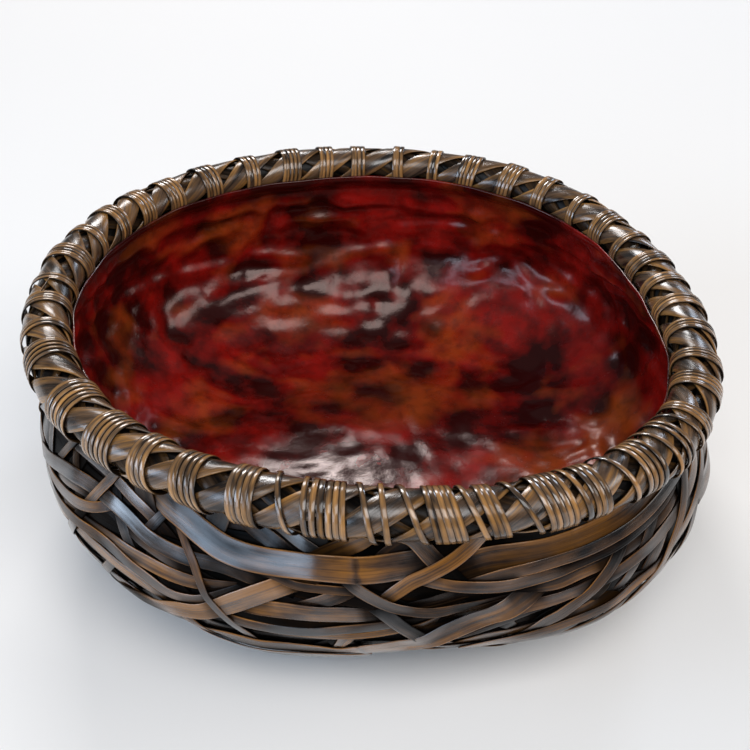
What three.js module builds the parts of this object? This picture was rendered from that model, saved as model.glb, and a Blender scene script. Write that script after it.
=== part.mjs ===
// Charcoal basket: a lacquered paper bowl in a shell of interlaced bamboo strips, with a bound rim roll.
// Millimetres, +Z up. The origin lies under the middle of the basket, on the plane that it stands on.
import * as THREE from "three";

// Bowl: the outside of the paper liner, with heights taken from the edge of its base
const BASE_RADIUS = 70;
const BASE_CROWN = 3;
const BELLY_RADIUS = 125.5;
const BELLY_HEIGHT = 49;
const RIM_RADIUS = 122;
const RIM_HEIGHT = 80.5;
const LINER_THICKNESS = 1.4;
const LINER_SIDES = 52;
const LUMP_HEIGHT = 1.1;
const LUMP_FADE = 20;

// Split bamboo strips
const STRIP_THICKNESS = 0.8;
const STAKE_WIDTH = 8;
const WEAVER_WIDTH = 10;
const SWEEP_WIDTH = 6;
const STAKES_PER_LEAN = 6;
const WEAVER_COUNT = 7;
const SWEEP_COUNT = 3;
const LEFT_CHORD = 50;
const RIGHT_CHORD = 22;
const LEFT_LEAN = -30;
const RIGHT_LEAN = 42;
const WEAVER_SWING = 4.3;
const SWEEP_SWING = 15;
const STRIP_END_GAP = 12;
const STATION_STEP = 12;
const RANK_WAVE = 150;

// Rim roll: two half-round hoops, two wide wraps and a narrow lashing, one over the other
const HOOP_HALF_WIDTH = 5.6;
const HOOP_HALF_HEIGHT = 4.7;
const HOOP_SIDES = 60;
const STAKE_TUCK = 3;
const WRAP_WIDTH = 6.5;
const WRAP_THICKNESS = 0.7;
const WRAP_STARTS = 2;
const WRAP_END_CUT = 1;
const LASHING_WIDTH = 2.4;
const LASHING_THICKNESS = 1;
const LASHING_PITCH = 3.2;
const LASHING_LENGTHS = 4;
const TURNS_PER_GROUP = 4;
const SIDES_PER_TURN = 8;

// Splints under the base
const SPLINT_WIDTH = 9;
const SPLINT_THICKNESS = 2;
const SPLINT_SPACING = 42;
const SPLINT_INSET = 3;

// Clearances
const FIT_GAP = 0.35;
const LINER_GAP = 0.35;
const CROSSING_GAP = 0.45;
const WEAVE_STACK = 1.65;

// Hand-made irregularity: [waves round the rim, size, phase in degrees]
const OUT_OF_ROUND = [[2, 3.2, 241], [3, 2.2, 180], [4, 1.5, 203]];
const OUT_OF_LEVEL = [[1, 2.6, 175], [2, 1.7, 187]];
const BASE_SHIFT = 2.9;
const BULGE_HEIGHT = 28;
const BULGE = [[0, 3, 0], [4, 3, 180]];

const TAU = Math.PI * 2;
const rad = THREE.MathUtils.degToRad;
const UP = new THREE.Vector3(0, 0, 1);

const bamboo = (color) => new THREE.MeshStandardMaterial({ color, roughness: 0.45, metalness: 0 });
const group = new THREE.Group();
group.name = "charcoal_basket";

// Meridian of the bowl: base, rounded wall, neck, and the straight run between the rim hoops
const neckRadius = RIM_RADIUS - WEAVE_STACK;
const hoopBottom = RIM_HEIGHT - HOOP_HALF_HEIGHT;
const neckRise = (hoopBottom - BELLY_HEIGHT) / 2;
const meridian = new THREE.CurvePath();
meridian.add(new THREE.QuadraticBezierCurve(
  new THREE.Vector2(0, BASE_CROWN), new THREE.Vector2(BASE_RADIUS / 2, 0), new THREE.Vector2(BASE_RADIUS, 0)));
meridian.add(new THREE.EllipseCurve(
  BASE_RADIUS, BELLY_HEIGHT, BELLY_RADIUS - BASE_RADIUS, BELLY_HEIGHT, -Math.PI / 2, 0));
meridian.add(new THREE.CubicBezierCurve(
  new THREE.Vector2(BELLY_RADIUS, BELLY_HEIGHT), new THREE.Vector2(BELLY_RADIUS, BELLY_HEIGHT + neckRise),
  new THREE.Vector2(neckRadius, hoopBottom - neckRise), new THREE.Vector2(neckRadius, hoopBottom)));
meridian.add(new THREE.LineCurve(
  new THREE.Vector2(neckRadius, hoopBottom), new THREE.Vector2(neckRadius, RIM_HEIGHT + STAKE_TUCK)));
const reach = meridian.getLength();
const [baseEdge, bellyEdge, neckEdge] = meridian.getCurveLengths();

// Point and outward normal of the bowl at a length along the meridian and an angle round the axis
function onBowl(along, angle) {
  const step = 0.05;
  const here = meridian.getPoint(THREE.MathUtils.clamp(along / reach, 0, 1));
  const back = meridian.getPoint(THREE.MathUtils.clamp((along - step) / reach, 0, 1));
  const ahead = meridian.getPoint(THREE.MathUtils.clamp((along + step) / reach, 0, 1));
  const slope = ahead.sub(back).normalize();
  const turn = (r, z) => new THREE.Vector3(r * Math.cos(angle), r * Math.sin(angle), z);
  return { point: turn(here.x, here.y), normal: turn(slope.y, -slope.x) };
}

// Share of the four-cornered bulge low on the wall, which fades out to the base and to the rim
function bulgeShare(z) {
  const risen = THREE.MathUtils.smoothstep(z, 0, BULGE_HEIGHT);
  return risen * (1 - THREE.MathUtils.smoothstep(z, BULGE_HEIGHT, RIM_HEIGHT));
}

// Moves a point of the true round basket to its place in the hand-made one
function irregular(point) {
  const share = THREE.MathUtils.smoothstep(point.z, 0, RIM_HEIGHT);
  const angle = Math.atan2(point.y, point.x);
  const wave = (sum, [count, size, phase]) => sum + size * Math.cos(count * angle - rad(phase));
  const round = Math.hypot(point.x, point.y) + share * OUT_OF_ROUND.reduce(wave, 0);
  const radius = round + bulgeShare(point.z) * BULGE.reduce(wave, 0);
  const x = radius * Math.cos(angle) + (1 - share) * BASE_SHIFT;
  return new THREE.Vector3(x, radius * Math.sin(angle), point.z + share * OUT_OF_LEVEL.reduce(wave, 0));
}

// Solid from a row of equal rings, capped at both ends or closed on itself, each side split along its shorter diagonal
function loft(rings, closed) {
  const count = rings[0].length;
  const index = [];
  const rows = closed ? rings.length : rings.length - 1;
  for (let i = 0; i < rows; i++) {
    const next = (i + 1) % rings.length;
    for (let k = 0; k < count; k++) {
      const m = (k + 1) % count;
      const [a, b, c, d] = [i * count + k, i * count + m, next * count + m, next * count + k];
      const folded = rings[i][m].distanceTo(rings[next][k]) < rings[i][k].distanceTo(rings[next][m]);
      index.push(...(folded ? [a, b, d, b, c, d] : [a, b, c, a, c, d]));
    }
  }
  const last = (rings.length - 1) * count;
  for (let k = 2; k < count && !closed; k++) index.push(0, k, k - 1, last, last + k - 1, last + k);
  const geometry = new THREE.BufferGeometry().setFromPoints(rings.flat().map(irregular));
  geometry.setIndex(index);
  return facingOut(geometry);
}

// Turns the triangles over when they face into the solid
function facingOut(geometry) {
  const at = geometry.attributes.position;
  const index = geometry.index.array;
  const corner = (k) => new THREE.Vector3().fromBufferAttribute(at, index[k]);
  let volume = 0;
  for (let k = 0; k < index.length; k += 3) volume += corner(k).dot(corner(k + 1).cross(corner(k + 2)));
  if (volume < 0) geometry.setIndex(Array.from(index).reverse());
  return geometry;
}

function add(name, geometry, material) {
  const mesh = new THREE.Mesh(geometry, material);
  mesh.name = name;
  group.add(mesh);
  return mesh;
}

// Strip on the bowl: stations along a course of [along, angle] places, each with the least lift off the liner
function makeStrip(name, width, course, color) {
  const stations = course.map(([along, angle]) => onBowl(along, angle));
  stations.forEach((station, i) => {
    const before = stations[Math.max(i - 1, 0)].point;
    const after = stations[Math.min(i + 1, stations.length - 1)].point;
    station.run = after.clone().sub(before).normalize();
    station.side = station.run.clone().cross(station.normal).normalize();
    const [along, angle] = course[i];
    const edges = onBowl(along - width / 2, angle).point.add(onBowl(along + width / 2, angle).point);
    const hollow = edges.multiplyScalar(0.5).sub(station.point).dot(station.normal);
    const sag = before.clone().add(after).multiplyScalar(-0.5).add(station.point).dot(station.normal) / 4;
    station.floor = STRIP_THICKNESS / 2 + FIT_GAP + Math.max(hollow, 0) + Math.max(sag, 0);
    station.lift = WEAVE_STACK;
    station.fixed = along > neckEdge - 2 * FIT_GAP;
  });
  return { name, width, stations, color };
}

// Courses of the stakes: a chord under the base, then a lean up the wall to two slots in the rim
const slitMouth = neckEdge - FIT_GAP;
const slots = 4 * STAKES_PER_LEAN;
const slotAngle = TAU / slots;
const nearestSlot = (angle, residue) => residue + 4 * Math.round((angle / slotAngle - residue) / 4);
function stakeCourse(index, chord, lean, shift, residues) {
  const middle = (4 * index + shift + 0.5) * slotAngle;
  const half = Math.sqrt(slitMouth * slitMouth - chord * chord);
  const spread = Math.acos(chord / slitMouth);
  const slotLean = [-1, 1].map((end, k) => {
    const slot = nearestSlot(end * spread + rad(lean), residues[k]);
    return slot * slotAngle - end * spread;
  });
  const steps = 2 * Math.round(half * 1.2 / STATION_STEP);
  const course = Array.from({ length: steps + 1 }, (_, i) => {
    const across = half * (2 * i / steps - 1);
    const along = Math.hypot(chord, across);
    const ease = THREE.MathUtils.smoothstep(along, baseEdge * 0.6, slitMouth);
    return [along, middle + Math.atan2(across, chord) + ease * slotLean[across < 0 ? 0 : 1]];
  });
  return [[reach, course[0][1]], ...course, [reach, course.at(-1)[1]]];
}

// Courses of the strips that run round the wall, rising and falling as they go
function ringCourse(level, swing, waves, start) {
  const radius = onBowl(level, 0).point.x;
  const sweep = TAU - STRIP_END_GAP / radius;
  const steps = Math.round(sweep * radius / STATION_STEP);
  return Array.from({ length: steps + 1 }, (_, i) => {
    const angle = start + sweep * i / steps;
    return [level + swing * Math.cos(waves * angle + start), angle];
  });
}

const rollHalfHeight = HOOP_HALF_HEIGHT + 3 * FIT_GAP + 2 * WRAP_THICKNESS + LASHING_THICKNESS;
const wallTop = neckEdge - (rollHalfHeight - HOOP_HALF_HEIGHT) - 2 * FIT_GAP;
const wallBottom = baseEdge + WEAVER_WIDTH;
const goldenAngle = Math.PI * (3 - Math.sqrt(5));
const strips = [];
for (let i = 0; i < STAKES_PER_LEAN; i++) {
  const right = stakeCourse(i, RIGHT_CHORD, RIGHT_LEAN, 0, [2, 0]);
  const left = stakeCourse(i, LEFT_CHORD, LEFT_LEAN, 2, [1, 3]);
  strips.push(makeStrip(`stake_right_lean_${i + 1}`, STAKE_WIDTH, right, 0x4a3526));
  strips.push(makeStrip(`stake_left_lean_${i + 1}`, STAKE_WIDTH, left, 0x3c2c22));
}
for (let i = 0; i < WEAVER_COUNT; i++) {
  const margin = WEAVER_WIDTH / 2 + WEAVER_SWING;
  const share = i / (WEAVER_COUNT - 1);
  const level = THREE.MathUtils.lerp(wallBottom + margin, wallTop - margin, share);
  const course = ringCourse(level, WEAVER_SWING, 2 + i % 2, goldenAngle * i);
  strips.push(makeStrip(`wall_band_${i + 1}`, WEAVER_WIDTH, course, 0x443127));
}
for (let i = 0; i < SWEEP_COUNT; i++) {
  const margin = SWEEP_WIDTH / 2 + SWEEP_SWING;
  const share = (i + 0.5) / SWEEP_COUNT;
  const level = THREE.MathUtils.lerp(wallBottom + margin, wallTop - margin, share);
  const course = ringCourse(level, SWEEP_SWING, 3, goldenAngle * (i + 2.5));
  strips.push(makeStrip(`narrow_sweep_${i + 1}`, SWEEP_WIDTH, course, 0x5a4430));
}

// Places where one strip's edges and middle lie over another strip, as shares between stations,
// with the height there of the first strip over the second when neither is lifted
function overlaps(a, b) {
  const found = [];
  const edgeOf = (station, side) => station.point.clone().addScaledVector(station.side, side * a.width);
  for (let i = 0; i < a.stations.length - 1; i++) {
    const [one, two] = [a.stations[i], a.stations[i + 1]];
    for (let j = 0; j < b.stations.length - 1; j++) {
      const [from, to] = [b.stations[j], b.stations[j + 1]];
      if (one.point.distanceTo(from.point) > 3 * STATION_STEP) continue;
      const run = to.point.clone().sub(from.point);
      for (const side of [-0.5, 0, 0.5]) {
        for (let part = 0; part < 1; part += 0.25) {
          const offset = edgeOf(one, side).lerp(edgeOf(two, side), part).sub(from.point);
          const share = offset.dot(run) / run.lengthSq();
          const aside = Math.abs(offset.dot(from.side));
          if (share < -0.05 || share > 1.05 || aside > b.width / 2 + 1) continue;
          const normal = from.normal.clone().lerp(to.normal, share);
          const rise = offset.addScaledVector(run, -share).dot(normal);
          found.push({ i, part, j, share: THREE.MathUtils.clamp(share, 0, 1), rise });
        }
      }
    }
  }
  return found;
}

// Rank of a strip at a place along it: it runs on the outside for half a wave, then on the inside
function rank(number, place) {
  const wave = Math.sin(place * STATION_STEP * TAU / RANK_WAVE + number * goldenAngle * 1.7);
  return Math.sign(wave) + 0.5 * Math.sin(number * goldenAngle);
}

// Every crossing of two strips, with the strip of higher rank on the outside
function findCrossings() {
  const crossings = [];
  for (let a = 0; a < strips.length; a++) {
    for (let b = a + 1; b < strips.length; b++) {
      const hits = overlaps(strips[a], strips[b]);
      const back = overlaps(strips[b], strips[a]);
      hits.push(...back.map((hit) => ({ i: hit.j, part: hit.share, j: hit.i, share: hit.part, rise: -hit.rise })));
      hits.sort((one, two) => one.i - two.i);
      let run = null;
      for (const hit of hits) {
        if (!run || hit.i - run.hits.at(-1).i > 2) {
          run = { a, b, hits: [], turns: 0 };
          crossings.push(run);
        }
        run.hits.push(hit);
      }
    }
  }
  for (const crossing of crossings) {
    const { i, j } = crossing.hits[crossing.hits.length >> 1];
    crossing.over = Math.sign(rank(crossing.a, i) - rank(crossing.b, j));
  }
  return crossings;
}

// Lifts the outer strip and presses the inner strip at one place, and gives back how far they were short
function part(crossing, hit) {
  const [a, b] = [strips[crossing.a].stations, strips[crossing.b].stations];
  const ends = [[a[hit.i], 1 - hit.part, 1], [a[hit.i + 1], hit.part, 1],
    [b[hit.j], 1 - hit.share, -1], [b[hit.j + 1], hit.share, -1]];
  const apart = crossing.over * ends.reduce((sum, [end, weight, sign]) => sum + sign * weight * end.lift, hit.rise);
  const short = STRIP_THICKNESS + CROSSING_GAP - apart;
  const free = ends.filter(([end]) => !end.fixed);
  const total = free.reduce((sum, [, weight]) => sum + weight * weight, 0);
  if (short <= 0 || total < 1e-6) return Math.max(short, 0);
  for (const [end, weight, sign] of free) end.lift += crossing.over * sign * weight * short / total;
  return short;
}

// Rests every strip as near the liner as its crossings allow, turning over a crossing that cannot open
function interlace(crossings) {
  const keepOff = (station) => { station.lift = Math.max(station.lift, station.floor); };
  const ease = ({ stations }) => stations.forEach((station, i) => {
    if (station.fixed) return;
    const before = stations[Math.max(i - 1, 0)].lift;
    const after = stations[Math.min(i + 1, stations.length - 1)].lift;
    station.lift += 0.3 * ((before + after) / 2 - station.lift) - 0.02;
    keepOff(station);
  });
  const open = () => crossings.map((crossing) => {
    const worst = Math.max(...crossing.hits.map((hit) => part(crossing, hit)));
    strips[crossing.a].stations.forEach(keepOff);
    strips[crossing.b].stations.forEach(keepOff);
    return worst;
  });
  const settle = (passes, easing) => {
    let short = [];
    for (let pass = 0; pass < passes; pass++) {
      if (easing) strips.forEach(ease);
      short = open();
    }
    return short;
  };
  for (let round = 0; round < 40; round++) {
    settle(12, true);
    const short = settle(25, false);
    const order = crossings.map((crossing, k) => ({ crossing, by: short[k] })).sort((a, b) => b.by - a.by);
    if (order[0].by < CROSSING_GAP / 2) break;
    const touched = new Set();
    for (const { crossing, by } of order) {
      const { a, b } = crossing;
      if (by < CROSSING_GAP / 2 || crossing.turns > 3 || touched.has(a) || touched.has(b)) continue;
      crossing.over *= -1;
      crossing.turns += 1;
      touched.add(a).add(b);
    }
  }
  return Math.max(...settle(150, false));
}
const crossings = findCrossings();
const left = interlace(crossings);
console.log(`interlaced ${strips.length} strips at ${crossings.length} crossings, ${left.toFixed(3)} mm short`);

const ribbonRing = ({ point, normal, side, lift }, width) => {
  const corner = (across, out) => point.clone().addScaledVector(side, across * width / 2)
    .addScaledVector(normal, lift + out * STRIP_THICKNESS / 2);
  return [corner(-1, -1), corner(1, -1), corner(1, 1), corner(-1, 1)];
};
for (const strip of strips) {
  strip.rings = strip.stations.map((station) => ribbonRing(station, strip.width));
  add(strip.name, loft(strip.rings, false), bamboo(strip.color));
}

// Lump of the paper at a corner of its inside, from -1 to 1, scattered by the golden angle
const lump = (ring, side) => Math.cos(goldenAngle * (ring + 2) * (side + 3) ** 2);

// Ring of corners of the liner; every other ring starts half a side further on.
// Lumps of the inside fade out towards the top and towards the middle of the base.
const linerTop = wallTop + FIT_GAP;
function linerRing(along, ring, inside) {
  const share = Math.min(1, (linerTop - along) / LUMP_FADE, (along / baseEdge) ** 2);
  const height = inside ? share * LUMP_HEIGHT : 0;
  return Array.from({ length: LINER_SIDES }, (_, side) => {
    const { point, normal } = onBowl(along, (side + (ring + 1) % 2 / 2) * TAU / LINER_SIDES);
    const depth = LINER_GAP + (inside ? LINER_THICKNESS : 0) + height * (1 + lump(ring, side));
    return point.addScaledVector(normal, -depth);
  });
}

// Paper liner, lacquered, from the middle of the base to just under the rim roll, with lumps on the inside
const linerPlaces = [0.23, 0.5, 0.75, 1].map((share) => share * baseEdge);
for (let i = 1; i <= 10; i++) linerPlaces.push(THREE.MathUtils.lerp(baseEdge, linerTop, i / 10));
const underSide = linerPlaces.map((along, ring) => linerRing(along, ring, false));
const inSide = linerPlaces.map((along, ring) => linerRing(along, ring, true));
const lacquer = new THREE.MeshStandardMaterial({ color: 0x5a1408, roughness: 0.25 });
add("paper_liner", loft([...underSide, ...inSide.reverse()], false), lacquer);

// Place on the rim roll: angle round the basket, turn round the roll, and distance out from the hoops
function onRoll(angle, turn, out) {
  const radius = RIM_RADIUS + (HOOP_HALF_WIDTH + out) * Math.cos(turn);
  const height = RIM_HEIGHT + (HOOP_HALF_HEIGHT + out) * Math.sin(turn);
  return new THREE.Vector3(radius * Math.cos(angle), radius * Math.sin(angle), height);
}

// Hoops on the inner and outer side of the stake tops
const slit = STRIP_THICKNESS + 2 * FIT_GAP;
const sideTurn = TAU / SIDES_PER_TURN;
function hoop(side) {
  const rings = Array.from({ length: HOOP_SIDES }, (_, i) => {
    const angle = TAU * i / HOOP_SIDES;
    return Array.from({ length: SIDES_PER_TURN / 2 + 1 }, (_, k) => {
      const place = onRoll(0, Math.PI / 2 - k * sideTurn, 0);
      const away = Math.max(place.x - RIM_RADIUS, slit / 2);
      return new THREE.Vector3(RIM_RADIUS + side * away, 0, place.z).applyAxisAngle(UP, angle);
    });
  });
  return loft(rings, true);
}
add("rim_outer_hoop", hoop(1), bamboo(0x35261d));
add("rim_inner_hoop", hoop(-1), bamboo(0x35261d));

// Winding round the roll that passes under it at each of the given angles, less some sides cut off at each end
function winding(name, passes, cut, hand, out, section, color) {
  const whole = [];
  for (let n = 0; n < passes.length; n++) {
    const steps = n < passes.length - 1 ? SIDES_PER_TURN : 1;
    const next = passes[Math.min(n + 1, passes.length - 1)];
    for (let k = 0; k < steps; k++) {
      const angle = THREE.MathUtils.lerp(passes[n], next, k / SIDES_PER_TURN);
      const turn = -Math.PI / 2 + hand * k * sideTurn;
      whole.push(section.map(([across, rise]) => onRoll(angle + across / RIM_RADIUS, turn, out + rise)));
    }
  }
  const rings = whole.slice(cut, whole.length - cut);
  let gap = Infinity;
  for (let i = 0; i + SIDES_PER_TURN < rings.length; i++) {
    for (const one of rings[i]) {
      for (const two of rings[i + SIDES_PER_TURN]) gap = Math.min(gap, one.distanceTo(two));
    }
  }
  console.log(`${name}: ${passes.length - 1} turns, least gap to itself ${gap.toFixed(2)} mm`);
  add(name, loft(rings, false), bamboo(color));
}

// Wide wraps of opposite hand, each in several starts, which pass under the roll half-way between stakes
const wrapAdvance = WRAP_STARTS * slotAngle * RIM_RADIUS;
const wrapHalf = WRAP_WIDTH / 2 / Math.cos(Math.atan2(wrapAdvance, TAU * HOOP_HALF_WIDTH));
const wrapSection = [[-wrapHalf, 0], [wrapHalf, 0], [wrapHalf, WRAP_THICKNESS], [-wrapHalf, WRAP_THICKNESS]];
const overWrap = FIT_GAP + WRAP_THICKNESS + FIT_GAP;
const wrapTurns = Math.round(slots / WRAP_STARTS);
for (let start = 0; start < WRAP_STARTS; start++) {
  const passes = Array.from({ length: wrapTurns + 1 }, (_, n) => start * slotAngle + n * TAU / wrapTurns);
  winding(`rim_under_wrap_${start + 1}`, passes, WRAP_END_CUT, -1, FIT_GAP, wrapSection, 0x30231b);
  winding(`rim_over_wrap_${start + 1}`, passes, WRAP_END_CUT, 1, overWrap, wrapSection, 0x4d3828);
}

// Narrow lashing in close groups, each length carrying its share of the groups
const lashingSection = [[-LASHING_WIDTH / 2, 0], [LASHING_WIDTH / 2, 0], [0, LASHING_THICKNESS]];
const groupsPerLength = slots / LASHING_LENGTHS;
for (let length = 0; length < LASHING_LENGTHS; length++) {
  const passes = [];
  for (let i = Math.round(length * groupsPerLength); i < Math.round((length + 1) * groupsPerLength); i++) {
    for (let n = 0; n < TURNS_PER_GROUP; n++) {
      const aside = (n - (TURNS_PER_GROUP - 1) / 2) * LASHING_PITCH;
      passes.push(i * slotAngle + aside / RIM_RADIUS);
    }
  }
  const overBoth = overWrap + WRAP_THICKNESS + FIT_GAP;
  winding(`rim_lashing_${length + 1}`, passes, 0, -1, overBoth, lashingSection, 0x6b5138);
}

// Points all over the outer face of a strip, close enough together to seat something against it
function outerFace({ rings }) {
  const points = [];
  for (let i = 0; i + 1 < rings.length; i++) {
    for (let step = 0; step < 10; step++) {
      const [one, two] = [2, 3].map((k) => rings[i][k].clone().lerp(rings[i + 1][k], step / 10));
      for (let across = 0; across <= 4; across++) points.push(irregular(one.clone().lerp(two, across / 4)));
    }
  }
  return points;
}

// Splints under the base, each shaved to meet the lowest strip that crosses it
const splintNames = ["base_splint_front", "base_splint_middle", "base_splint_back"];
const outside = strips.flatMap(outerFace);
const splints = splintNames.map((name, i) => {
  const y = (i - 1) * SPLINT_SPACING;
  const half = Math.sqrt((BASE_RADIUS - SPLINT_INSET) ** 2 - y * y);
  const isOver = (point) => Math.abs(point.x - BASE_SHIFT) < half && Math.abs(point.y - y) < SPLINT_WIDTH / 2;
  return { name, y, half, top: Math.min(...outside.filter(isOver).map((point) => point.z)) - FIT_GAP };
});
const ground = Math.min(...splints.map((splint) => splint.top)) - SPLINT_THICKNESS;
for (const { name, y, half, top } of splints) {
  const box = new THREE.BoxGeometry(2 * half, SPLINT_WIDTH, top - ground);
  const middle = (top + ground) / 2;
  add(name, box.translate(BASE_SHIFT, y, middle), bamboo(0x54402f));
}
group.children.forEach((mesh) => mesh.geometry.translate(0, 0, -ground));

export default group;
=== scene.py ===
"""Charcoal basket: dark bamboo strips woven round a lacquered paper bowl, with a bound rim roll.

Shapes are worked out in millimetres on a true round basket, then moved to the hand-made one, in metres."""

from itertools import combinations

import bpy
import numpy as np
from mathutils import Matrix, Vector


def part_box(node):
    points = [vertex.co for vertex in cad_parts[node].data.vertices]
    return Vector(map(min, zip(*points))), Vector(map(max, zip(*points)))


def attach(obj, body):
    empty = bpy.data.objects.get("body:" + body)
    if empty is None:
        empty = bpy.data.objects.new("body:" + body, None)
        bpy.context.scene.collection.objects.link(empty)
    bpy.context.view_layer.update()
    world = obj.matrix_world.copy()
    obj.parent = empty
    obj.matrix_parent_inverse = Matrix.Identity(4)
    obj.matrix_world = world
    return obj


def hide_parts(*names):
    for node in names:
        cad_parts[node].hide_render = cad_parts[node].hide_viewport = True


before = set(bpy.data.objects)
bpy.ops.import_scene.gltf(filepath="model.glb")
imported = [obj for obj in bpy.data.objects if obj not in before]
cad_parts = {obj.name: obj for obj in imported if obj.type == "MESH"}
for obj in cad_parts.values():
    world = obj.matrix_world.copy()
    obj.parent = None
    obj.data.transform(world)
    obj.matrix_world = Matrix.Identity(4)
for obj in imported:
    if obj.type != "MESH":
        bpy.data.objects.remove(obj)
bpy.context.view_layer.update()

# Bowl, as in the part's source; waves round it are (count, size, phase in degrees)
BASE_RADIUS = 70.0
BASE_CROWN = 3.0
BELLY_RADIUS = 125.5
BELLY_HEIGHT = 49.0
RIM_RADIUS = 122.0
RIM_HEIGHT = 80.5
LINER_GAP = 0.35
LINER_THICKNESS = 1.4
LINER_SIDES = 52
LUMP_HEIGHT = 1.1
LUMP_FADE = 20.0
OUT_OF_ROUND = ((2, 3.2, 241), (3, 2.2, 180), (4, 1.5, 203))
OUT_OF_LEVEL = ((1, 2.6, 175), (2, 1.7, 187))
BASE_SHIFT = 2.9
BULGE_HEIGHT = 28.0
BULGE = ((0, 3, 0), (4, 3, 180))

# Strips, as in the part's source
STAKE_WIDTH = 8.0
BAND_WIDTH = 10.0
SWEEP_WIDTH = 6.0
SOLID_THICKNESS = 0.8
BAND_SWING = 4.3
SWEEP_SWING = 15.0
STRIP_END_GAP = 12.0
RANK_WAVE = 150.0
WEAVE_STACK = 1.65
FIT_GAP = 0.35

# Rim roll, as in the part's source
HOOP_HALF_WIDTH = 5.6
HOOP_HALF_HEIGHT = 4.7
STAKE_TUCK = 3.0
WRAP_THICKNESS = 0.7
LASHING_THICKNESS = 1.0

# Finer bowl, for the look; corners are (angle, spread in degrees, size)
LOW_CORNERS = ((251, 14, 4.0), (302, 13, 6.0))
CORNER_RISE = (-2, 8)
CORNER_FALL = (10, 46)
CORNER_START = 25.0
CROWN_ROUND = 8.0
MEAN_RADIUS = 115
PRESS_BLUR = 2.4
BASE_BLUR = 4.5
LUMP_BLUR = 1.8
LEAST_DEPTH = 0.8
LIP_OUT = 2.9

# Finer strips, for the look
STRIP_THICKNESS = 0.5
STRIP_STEP = 1.5
STRIP_GAP = 0.05
EDGE_TILT = 0.15
TILT_FULL = 110.0
MOST_TWIST = 0.16
TUCK = 9.0
TUCK_RAMP = 3.0
UNDER_DROP = 3.8
FRONT_EDGES = ((190, 215), (318, 340))
LOW_END = 92.0
FREE_RISE = 1.8

# How the interlacing of the strips settles
ROUNDS = 24
FIRST_LIFT = 1.2
NEAR_STATION = 0.52
MOST_TURNS = 4
MOST_SHORT = 0.3
EVENING = 0.35
DRAW_DOWN = 0.012
LEVELLING = 0.2
PUSH = 1.1
LIFT_SMOOTHING = 8

# Finer rim roll, for the look
ROLL_SWELL = 1.1
WRAP_WIDTH = 6.8
WRAP_STARTS = 3
LASHING_WIDTH = 1.85
LASHING_JOINT = 7.5
NARROW_HALF = 3.0
GROUP_GAP = 0.04
PLAIN_VIEW = np.radians((248, 322))

TAU = 2 * np.pi
GOLDEN = np.pi * (3 - np.sqrt(5))
SLOT = TAU / 24


def smooth(x, low, high):
    """Smooth step: 0 up to low, 1 from high on, and 3t^2 - 2t^3 between them."""
    t = np.clip((x - low) / (high - low), 0, 1)
    return t * t * (3 - 2 * t)


def hump(x, rise, fall):
    """Smooth hump: from 0 up to 1 over the rise, and down again over the fall."""
    return smooth(x, *rise) * (1 - smooth(x, *fall))


def spun(radius, angle, height):
    """Points at radii, angles round the axis and heights."""
    return np.stack(np.broadcast_arrays(radius * np.cos(angle), radius * np.sin(angle), height), axis=-1)


def run_length(points):
    """Length along a row of points, from its start."""
    return np.concatenate([[0], np.cumsum(np.linalg.norm(np.diff(points, axis=0), axis=1))])


def meridian():
    """Profile of the outside of the bowl, from the middle of the base to the top of the rim slit.

    A parabola under the base, a quarter ellipse up the wall, a cubic with upright ends at the neck and a
    straight run between the hoops. Gives length along it, radius, height, and where the four parts end."""
    count = 400
    t = np.linspace(0, 1, count + 1)
    quarter = t * np.pi / 2
    neck_radius = RIM_RADIUS - WEAVE_STACK
    top = RIM_HEIGHT - HOOP_HALF_HEIGHT
    half_way = (BELLY_HEIGHT + top) / 2
    bend = 3 * t**2 - 2 * t**3
    rise = BELLY_HEIGHT * (1 - t) ** 3 + 3 * half_way * (t * (1 - t) ** 2 + t**2 * (1 - t)) + top * t**3
    spread = BASE_RADIUS + (BELLY_RADIUS - BASE_RADIUS) * np.sin(quarter)
    parts = [
        np.stack([t * BASE_RADIUS, BASE_CROWN * (1 - t) ** 2]),
        np.stack([spread, BELLY_HEIGHT * (1 - np.cos(quarter))]),
        np.stack([BELLY_RADIUS + (neck_radius - BELLY_RADIUS) * bend, rise]),
        np.stack([np.full_like(t, neck_radius), top + t * (HOOP_HALF_HEIGHT + STAKE_TUCK)]),
    ]
    profile = np.concatenate([parts[0]] + [p[:, 1:] for p in parts[1:]], axis=1)
    along = np.concatenate([[0], np.cumsum(np.hypot(*np.diff(profile, axis=1)))])
    return along, profile[0], profile[1], along[count * np.arange(1, 5)]


ALONG, RADIUS, HEIGHT, (BASE_EDGE, BELLY_EDGE, NECK_EDGE, REACH) = meridian()
OUTWARD = np.gradient(HEIGHT, ALONG)
UPWARD = -np.gradient(RADIUS, ALONG)
SLIT_MOUTH = NECK_EDGE - FIT_GAP
WALL_TOP = NECK_EDGE - (3 * FIT_GAP + 2 * WRAP_THICKNESS + LASHING_THICKNESS) - 2 * FIT_GAP
WALL_BOTTOM = BASE_EDGE + BAND_WIDTH
FREE_TOP = WALL_TOP + FREE_RISE
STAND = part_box("paper_liner")[0].z * 1000 - LINER_GAP


def on_bowl(along, angle):
    """Points of the bowl and their outward normals, at lengths along the profile and angles round it."""
    point = spun(np.interp(along, ALONG, RADIUS), angle, np.interp(along, ALONG, HEIGHT))
    normal = spun(np.interp(along, ALONG, OUTWARD), angle, np.interp(along, ALONG, UPWARD))
    return point, normal / np.linalg.norm(normal, axis=-1, keepdims=True)


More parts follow.
